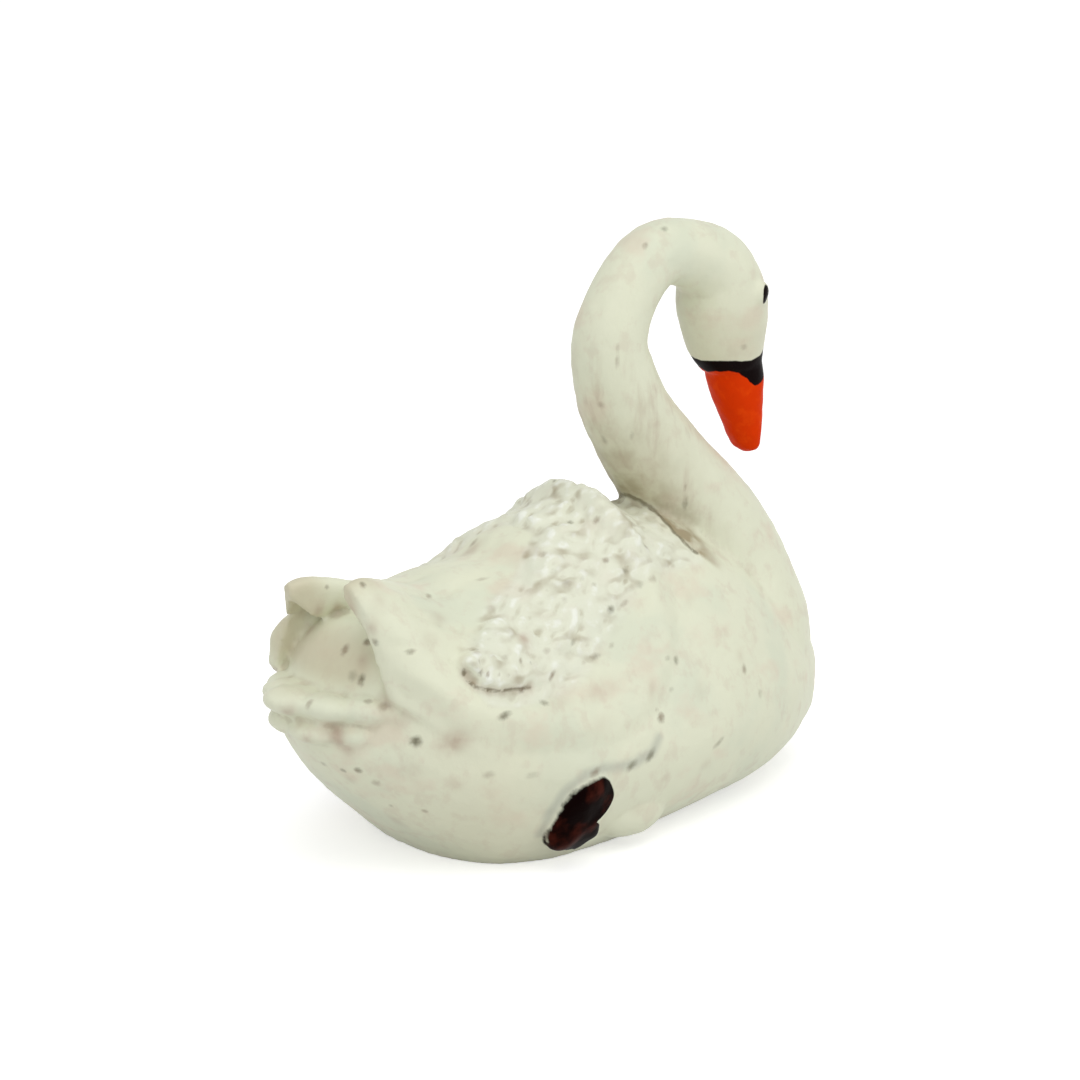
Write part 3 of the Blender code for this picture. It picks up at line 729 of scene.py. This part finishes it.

# %% Painted shadow lines where forms meet: neck on mantle, wing tip feathers, thigh; painted shade at the neck root and in the hollow between the wing tips
TIP_LINE = (
    (-23, -11.3, 22.9), (-23.4, -11.8, 21.6), (-22.7, -12.5, 20.5), (-21.3, -13.2, 20),
    (-19.1, -13.6, 19.7), (-16.6, -13.8, 19.4),
)
THIGH_LINE = (
    (-2.8, -17.7, 12), (-3.8, -17.9, 10.8), (-6.3, -17.9, 10.1), (-10.1, -17.6, 10.5),
    (-12.4, -17.5, 10.2), (-14.7, -17, 9), (-16.1, -16.2, 6.9), (-16.3, -15.1, 4.3),
)
folded = points * (1, 0, 1) - np.abs(points) * (0, 1, 0)


def line_distance(stations):
    """Least distance to the straight pieces between stations; both flanks count as one."""
    corners = np.array(stations) / 1000
    nearest = np.full(len(points), 1.0)
    for a, b in zip(corners[:-1], corners[1:]):
        t = np.clip((folded - a) @ (b - a) / ((b - a) @ (b - a)), 0, 1)
        away = folded - a - t[:, None] * (b - a)
        nearest = np.minimum(nearest, np.linalg.norm(away, axis=1))
    return nearest


crease, tip_line, thigh_line = (line_distance(line) for line in (CREASE, TIP_LINE, THIGH_LINE))
on_neck = step(-0.0002, 0.0003, past_crease(points)) * step(0.024, 0.0255, z)
on_neck = on_neck * step(0.05, 0.042, z)
CREASE_END, END_REACH, CREASE_FADE = (12.4, -6.6, 28.9), 0.0021, 0.0025
crease_end = np.linalg.norm(folded - np.array(CREASE_END) / 1000, axis=1)
behind_neck = 0.3 * bell(0.036, 0.006, z) * step(0.012, 0.007, x)
neck_shade = on_neck * (np.exp(-crease / CREASE_FADE) + behind_neck)
neck_shade = neck_shade + 0.8 * on_neck * bell(0, END_REACH, crease_end)
streaky = on_neck * step(0.02, 0.011, x)
# Each row: x, y and z of a place given painted shade, its reach, all in mm, and its strength.
SHADED_PLACES = (
    (22.5, -3.5, 46.3, 4.5, 0.55), (8.5, -2.5, 35, 5, 0.5), (-20, -13, 6, 9, 0.4),
)
# Painted shade: a beige darkening in the hollow between the wing tips and around the listed places.
painted_shade = step(-0.0275, -0.0305, x) * step(0.0195, 0.0215, z)
painted_shade = painted_shade * step(0.0085, 0.006, np.abs(y - 0.0015))
for *place, reach, strength in SHADED_PLACES:
    away = np.linalg.norm(folded * 1000 - place, axis=1)
    painted_shade = np.maximum(painted_shade, strength * bell(0, reach, away))
near_lines = [int((line < 0.0003).sum()) for line in (crease, tip_line, thigh_line)]
print("vertices on dark lines:", near_lines)

# %% Everything stored on the skin, one number per vertex under a name the material reads
kept = dict(
    hollow_fine=hollow_fine, hollow_broad=hollow_broad, black_border=black_top * 1000,
    orange_border=orange_top * 1000, eye_border=eye_border * 1000,
    foot_border=foot_border * 1000, neck_shade=neck_shade, feathered=feathered, pit=pit,
    pit_depth=pit_depth, stain_and_shade=stain_and_shade, painted_shade=painted_shade, streaky=streaky, crease=crease * 1000,
    tip_line=tip_line * 1000, thigh_line=thigh_line * 1000,
)
for name, values in kept.items():
    attribute = fused.attributes.new(name, "FLOAT", "POINT")
    attribute.data.foreach_set("value", values.astype(np.float32))
fused.polygons.foreach_set("use_smooth", [True] * len(fused.polygons))
print("attributes:", [a.name for a in fused.attributes if a.data_type == "FLOAT"])

# %% [markdown]
# ## Paint effects as node groups
#
# Three effects make the paint look brushed by hand: pale patches that drift between
# cream and grey-green, a brown wash with painted shade that pools in hollows, and the small
# lumps of the feathered mantle. Each is a node group with named inputs, built once.


# %% Small helpers that wire nodes
def new_group(name, ins, outs):
    """A shader node group with named sockets, colours where the value is a tuple, and then
    its own input and output sockets."""
    tree = bpy.data.node_groups.new(name, "ShaderNodeTree")
    for side, sockets in (("INPUT", ins), ("OUTPUT", outs)):
        for label, value in sockets.items():
            kind = "NodeSocketColor" if isinstance(value, tuple) else "NodeSocketFloat"
            socket = tree.interface.new_socket(label, in_out=side, socket_type=kind)
            socket.default_value = value
    given, result = (tree.nodes.new("NodeGroup" + side) for side in ("Input", "Output"))
    return tree, given.outputs, result.inputs


def wire(tree, kind, inputs=(), **settings):
    """A new node with its settings and its inputs, each a number or a socket to link."""
    node = tree.nodes.new(kind)
    for key, value in settings.items():
        setattr(node, key, value)
    for key, value in dict(inputs).items():
        if isinstance(value, bpy.types.NodeSocket):
            tree.links.new(value, node.inputs[key])
        else:
            node.inputs[key].default_value = value
    return node


def maths(tree, operation, a, b=0.0, c=0.0, clamp=False):
    """The result socket of one Math node."""
    node = wire(tree, "ShaderNodeMath", {0: a, 1: b, 2: c}, operation=operation, use_clamp=clamp)
    return node.outputs[0]


def ramp(tree, value, low, high):
    """0 at low and 1 at high, smooth between, as a Map Range node."""
    ends = {"Value": value, "From Min": low, "From Max": high}
    return wire(tree, "ShaderNodeMapRange", ends, interpolation_type="SMOOTHSTEP").outputs["Result"]


def mixed(tree, factor, a, b):
    """Colour a turned to colour b by the factor."""
    return wire(tree, "ShaderNodeMix", {0: factor, 6: a, 7: b}, data_type="RGBA").outputs[2]


def cloud(tree, scale, detail=3.0, stretch=(1, 1, 1), rough=0.5):
    """Noise on the object's own coordinates, in metres times the scale."""
    place = wire(tree, "ShaderNodeTexCoord").outputs["Object"]
    place = wire(tree, "ShaderNodeMapping", {"Vector": place, "Scale": stretch}).outputs[0]
    inputs = {"Vector": place, "Scale": scale, "Detail": detail, "Roughness": rough}
    return wire(tree, "ShaderNodeTexNoise", inputs).outputs["Fac"]


# %% Patches, wash with painted shade, and lumps
SOME_WHITE, SOME_BROWN = (0.8, 0.8, 0.7, 1), (0.2, 0.12, 0.06, 1)

patches, given, result = new_group(
    "brushed_patches",
    {"Paint": SOME_WHITE, "Cool": SOME_WHITE, "Warm": SOME_WHITE, "Amount": 1.0},
    {"Color": SOME_WHITE},
)
tint = given["Paint"]
for label, drift, low, high in (
    ("Cool", cloud(patches, 95, 4), 0.5, 0.68),
    ("Warm", cloud(patches, 150, 4, (1, 1, 1.4)), 0.54, 0.7),
):
    amount = maths(patches, "MULTIPLY", ramp(patches, drift, low, high), given["Amount"])
    tint = mixed(patches, amount, tint, given[label])
patches.links.new(tint, result["Color"])

# Brown wash together with painted shade: the paint turns brown where the hollow mask is high.
wash_shade_group, given, result = new_group(
    "wash_and_painted_shade",
    {"Paint": SOME_WHITE, "Wash_and_shade": SOME_BROWN, "Hollow": 0.0, "Amount": 1.0},
    {"Color": SOME_WHITE, "Mask": 0.0},
)
patchy = maths(wash_shade_group, "MULTIPLY_ADD", ramp(wash_shade_group, cloud(wash_shade_group, 420, 3), 0.3, 0.7), 0.8, 0.35)
pooled = maths(wash_shade_group, "MULTIPLY", given["Hollow"], patchy, clamp=True)
pooled = maths(wash_shade_group, "MULTIPLY", pooled, given["Amount"], clamp=True)
wash_shade_group.links.new(mixed(wash_shade_group, pooled, given["Paint"], given["Wash_and_shade"]), result["Color"])
wash_shade_group.links.new(pooled, result["Mask"])

lumps, given, result = new_group(
    "mantle_lumps", {"Scale": 900.0, "Bend": 0.0006}, {"Recess": 0.0, "Height": 0.0}
)
place = wire(lumps, "ShaderNodeTexCoord").outputs["Object"]
bend = {"Vector": place, "Scale": 700.0, "Detail": 2.0}
bend = {0: wire(lumps, "ShaderNodeTexNoise", bend).outputs["Color"], "Scale": given["Bend"]}
bend = wire(lumps, "ShaderNodeVectorMath", bend, operation="SCALE").outputs[0]
place = wire(lumps, "ShaderNodeVectorMath", {0: place, 1: bend}, operation="ADD").outputs[0]
inputs = {"Vector": place, "Rotation": (0, 0.9, 0), "Scale": (0.6, 0.9, 1.3)}
place = wire(lumps, "ShaderNodeMapping", inputs).outputs[0]
inputs = {"Vector": place, "Scale": given["Scale"], "Randomness": 1.0}
away = wire(lumps, "ShaderNodeTexVoronoi", inputs, feature="SMOOTH_F1").outputs["Distance"]
lumps.links.new(ramp(lumps, away, 0.38, 0.66), result["Recess"])
lumps.links.new(maths(lumps, "SUBTRACT", 1.0, away), result["Height"])
print("node groups:", [g.name for g in bpy.data.node_groups])

# %% [markdown]
# ## The painted resin
#
# The whole bird has one material, because it is one casting in one kind of paint. The
# stored borders choose the colour: off-white first, then a painted highlight, the wash with
# painted shade, painted shadow lines and pits, then the bill, the eyes and the feet on top,
# as a painter would work.

# %% Colours, and helpers for the casting's material
OFF_WHITE, COOL_WHITE = (0.74, 0.755, 0.59, 1), (0.66, 0.70, 0.555, 1)
# The paler white of the lump tops is a painted highlight.
WARM_WHITE, HIGHLIGHT_WHITE = (0.71, 0.63, 0.50, 1), (0.86, 0.88, 0.80, 1)
# The darker beige is painted shade.
MANTLE_WHITE, SHADE_BEIGE = (0.75, 0.765, 0.65, 1), (0.60, 0.555, 0.40, 1)
# Pink of stains, of neck streaks and of painted shade; the flecks' pink is paint.
STAIN_AND_SHADE_PINK, FLECK_PINK = (0.44, 0.325, 0.245, 1), (0.60, 0.50, 0.40, 1)
# The wash brown also carries painted shade; the brown beside it colours painted shadow lines.
BROWN_WASH_AND_SHADE, SHADOW_BROWN = (0.25, 0.175, 0.08, 1), (0.13, 0.105, 0.055, 1)
PIT_BROWN, PIT_OLIVE = (0.17, 0.09, 0.05, 1), (0.13, 0.115, 0.07, 1)
# The grey colours a painted shadow by the thigh.
SHADOW_GREY, BLACK = (0.30, 0.32, 0.29, 1), (0.007, 0.004, 0.004, 1)
ORANGE, BRIGHT_ORANGE = (0.72, 0.042, 0.002, 1), (0.85, 0.075, 0.004, 1)
FOOT_BLACK, FOOT_BROWN = (0.0035, 0.0007, 0.0005, 1), (0.05, 0.009, 0.005, 1)

resin = bpy.data.materials.new("painted_resin")
resin.use_nodes = True
tree = resin.node_tree
shader = tree.nodes["Principled BSDF"]
noise, fade, blend, sums = (partial(helper, tree) for helper in (cloud, ramp, mixed, maths))


def stored(name):
    """The number kept on the skin under this name."""
    return wire(tree, "ShaderNodeAttribute", attribute_name=name).outputs["Fac"]


def times(a, b):
    """The product of two masks."""
    return sums("MULTIPLY", a, b)


def shaken(name, amount=0.3, scale=1500):
    """A stored distance with the small shake of a brush, in the same unit."""
    return sums("ADD", stored(name), times(sums("SUBTRACT", noise(scale, 2), 0.5), amount))


def border(name, softness, shake):
    """1 inside a stored border and 0 outside, with the small shake of a brush."""
    return fade(shaken(name, shake, 900), -softness, softness)


def layered(colour, *layers):
    """The colour after each mask has let its paint cover it, in the given order."""
    for mask, over in layers:
        colour = blend(mask, colour, over)
    return colour


# %% Material of the casting
whites = {"Paint": OFF_WHITE, "Cool": COOL_WHITE, "Warm": WARM_WHITE, "Amount": 0.6}
paint = wire(tree, "ShaderNodeGroup", whites, node_tree=patches).outputs["Color"]
lump = wire(tree, "ShaderNodeGroup", {"Scale": 900.0, "Bend": 0.0006}, node_tree=lumps).outputs

# Painted highlight on the lump tops, painted shade between the lumps, and the brown wash with
# painted shade in hollows
under = stored("feathered")
flecks = fade(noise(480, 4, (1, 1, 0.8), 0.6), 0.5, 0.68)
# Painted highlight: the tops of the feather lumps turn a paler white.
painted_highlight = times(fade(stored("hollow_fine"), 0.0, -1.6), fade(noise(900, 2), 0.4, 0.62))
# Painted shade in beige, read from the stored mask.
beige_shade = times(stored("painted_shade"), 0.75)
colour = layered(
    paint,
    (times(flecks, 0.26), FLECK_PINK),
    (times(under, 0.5), MANTLE_WHITE),
    (times(times(painted_highlight, under), 0.8), HIGHLIGHT_WHITE),
    (beige_shade, SHADE_BEIGE),
)
# Painted shade with the brown wash: in fine and broad hollows, between the lumps and at the neck
# root.
deep = times(fade(stored("hollow_fine"), 0.3, 2.4), sums("ADD", times(under, 0.35), 0.4))
wide = sums("SUBTRACT", 0.45, times(beige_shade, 0.5))
wide = times(fade(stored("hollow_broad"), 0.3, 2.2), wide)
# Painted shade between the feather lumps, pooled with the wash.
lump_shade = times(times(lump["Recess"], under), fade(noise(260, 2), 0.35, 0.65))
wash_and_shade_amount = deep
for other in (wide, stored("neck_shade"), times(lump_shade, 0.7)):
    wash_and_shade_amount = sums("MAXIMUM", wash_and_shade_amount, other)
inputs = {"Paint": colour, "Hollow": wash_and_shade_amount, "Wash_and_shade": BROWN_WASH_AND_SHADE, "Amount": 0.75}
washed_and_shaded = wire(tree, "ShaderNodeGroup", inputs, node_tree=wash_shade_group).outputs

# Stains mixed with painted shade, streaks, painted shadow lines where forms meet, and pits, olive
# or brown
mottled = sums("MULTIPLY_ADD", fade(noise(600, 3), 0.3, 0.7), 0.5, 0.65)
streaks = times(fade(noise(800, 3, (1, 1, 0.22)), 0.48, 0.72), stored("streaky"))
tip_shadow = times(fade(shaken("tip_line", 0.25), 0.34, 0.06), fade(noise(1300, 2), 0.36, 0.5))
pitted = times(fade(shaken("pit", 0.8, 2200), 1.7, 0.15), stored("pit_depth"))
pit_colour = blend(fade(noise(330, 1), 0.42, 0.58), PIT_BROWN, PIT_OLIVE)
colour = layered(
    washed_and_shaded["Color"],
    # Stains, partly painted shade, and neck streaks in pink.
    (times(stored("stain_and_shade"), mottled), STAIN_AND_SHADE_PINK),
    (times(streaks, 0.3), STAIN_AND_SHADE_PINK),
    # Painted shadow: pink and brown along the wing tip's edge, grey by the thigh, brown in the neck
    # crease.
    (times(fade(shaken("tip_line", 0.5), 0.9, 0.1), 0.3), STAIN_AND_SHADE_PINK),
    (times(tip_shadow, 0.7), SHADOW_BROWN),
    (times(fade(shaken("thigh_line", 0.5, 500), 1.0, 0.0), 0.42), SHADOW_GREY),
    (times(fade(shaken("crease", 0.3), 0.42, 0.1), 0.7), SHADOW_BROWN),
    (times(pitted, 0.92), pit_colour),
)

# Bill, eyes and feet on top
black, orange = border("black_border", 0.09, 0.24), border("orange_border", 0.1, 0.6)
eye, foot = border("eye_border", 0.06, 0.1), border("foot_border", 0.1, 0.24)
worn_orange = blend(times(fade(noise(700, 3), 0.5, 0.75), 0.5), ORANGE, BRIGHT_ORANGE)
worn_foot = blend(fade(noise(350, 3), 0.5, 0.72), FOOT_BLACK, FOOT_BROWN)
colour = layered(colour, (black, BLACK), (orange, worn_orange), (eye, BLACK), (foot, worn_foot))
tree.links.new(colour, shader.inputs["Base Color"])

# %% Its gloss and its small relief
dark_paint = sums("MAXIMUM", sums("MAXIMUM", black, orange), sums("MAXIMUM", eye, foot))
gloss = sums("SUBTRACT", 0.5, times(noise(500, 3), 0.12))
for mask, value in ((washed_and_shaded["Mask"], 0.65), (dark_paint, 0.35), (eye, 0.2)):
    gloss = wire(tree, "ShaderNodeMix", {0: mask, "A": gloss, "B": value}).outputs["Result"]
tree.links.new(gloss, shader.inputs["Roughness"])
shader.inputs["Specular IOR Level"].default_value = 0.012
bare = sums("SUBTRACT", 1.0, sums("MAXIMUM", dark_paint, washed_and_shaded["Mask"]), clamp=True)
tree.links.new(times(bare, 0.22), shader.inputs["Coat Weight"])
shader.inputs["Coat Roughness"].default_value = 0.25

height = sums("SUBTRACT", times(noise(1500, 3), 0.5), times(pitted, 0.8))
strokes = noise(2600, 2, (0.35, 1.0, 1.0))
for more in (times(strokes, 0.2), times(times(lump["Height"], under), 1.2)):
    height = sums("ADD", height, more)
bump = wire(tree, "ShaderNodeBump", {"Height": height, "Strength": 0.4, "Distance": 0.00014})
tree.links.new(bump.outputs["Normal"], shader.inputs["Normal"])
fused.materials.clear()
fused.materials.append(resin)
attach(casting, "root")
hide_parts("swan")
print("nodes in the paint:", len(tree.nodes))

# %% [markdown]
# ## A white table and soft light
#
# The swan was photographed on white under broad soft light, with hardly a shadow. The floor
# is white to the camera and keeps only the contact shadow. Large lamps stand around,
# as softboxes would, and the world adds an even light.

# %% Floor, lamps and world
scene = bpy.context.scene
bpy.ops.mesh.primitive_plane_add(size=3.0, location=(0, 0, -0.00002))
floor = bpy.context.object
floor.name = "white_table"
paper = bpy.data.materials.new("white_paper")
paper.use_nodes = True
table_shader = paper.node_tree.nodes["Principled BSDF"]
matt_white = {
    "Base Color": (0.8, 0.8, 0.8, 1), "Roughness": 1.0, "Specular IOR Level": 0.0,
    "Emission Color": (1, 1, 1, 1),
}
for label, value in matt_white.items():
    table_shader.inputs[label].default_value = value
floor.data.materials.append(paper)


def directly_seen(tree):
    """1 for rays from the camera and for those that glance off or pass through something."""
    path = tree.nodes.new("ShaderNodeLightPath")
    seen = maths(tree, "MAXIMUM", path.outputs["Is Camera Ray"], path.outputs["Is Glossy Ray"])
    return maths(tree, "MAXIMUM", seen, path.outputs["Is Transmission Ray"])


TABLE_GLOW = 0.5
glow = maths(paper.node_tree, "MULTIPLY", directly_seen(paper.node_tree), TABLE_GLOW)
paper.node_tree.links.new(glow, table_shader.inputs["Emission Strength"])


def soft_lamp(name, place, size, watts):
    """A square area lamp that faces the middle of the bird."""
    lamp = bpy.data.lights.new(name, "AREA")
    lamp.size = size
    lamp.energy = watts
    made = bpy.data.objects.new(name, lamp)
    scene.collection.objects.link(made)
    made.location = place
    aim = Vector((0, 0, 0.028)) - Vector(place)
    made.rotation_euler = aim.to_track_quat("-Z", "Y").to_euler()


soft_lamp("lamp_above", (-0.05, -0.2, 0.75), 0.7, 2.05)
soft_lamp("lamp_left", (-0.65, -0.35, 0.35), 0.6, 1.15)
soft_lamp("lamp_right", (0.4, -0.6, 0.3), 0.5, 0.95)

world = bpy.data.worlds.new("soft_room")
world.use_nodes = True
scene.world = world
background = world.node_tree.nodes["Background"]
background.inputs["Color"].default_value = (1, 1, 1, 1)
ROOM_LIGHT = 0.58
strength = maths(world.node_tree, "MULTIPLY", directly_seen(world.node_tree), 1 - ROOM_LIGHT)
strength = maths(world.node_tree, "ADD", strength, ROOM_LIGHT)
world.node_tree.links.new(strength, background.inputs["Strength"])

# %% [markdown]
# ## The camera
#
# The camera stands where the photographer stood: a little above the bird, behind its right
# flank. At 42 centimetres the near side looks slightly larger, which a parallel view
# would lose.

# %% Camera and view transform
camera = bpy.data.objects.new("camera", bpy.data.cameras.new("camera"))
scene.collection.objects.link(camera)
camera.data.lens = 133.3
camera.data.sensor_width = 36.0
camera.data.clip_start = 0.01
camera.location = (-0.26667, -0.29303, 0.14201)
aim = Vector((0.003475, 0.006997, 0.026242)) - camera.location
camera.rotation_euler = aim.to_track_quat("-Z", "Y").to_euler()
scene.camera = camera
scene.view_settings.view_transform = "Standard"
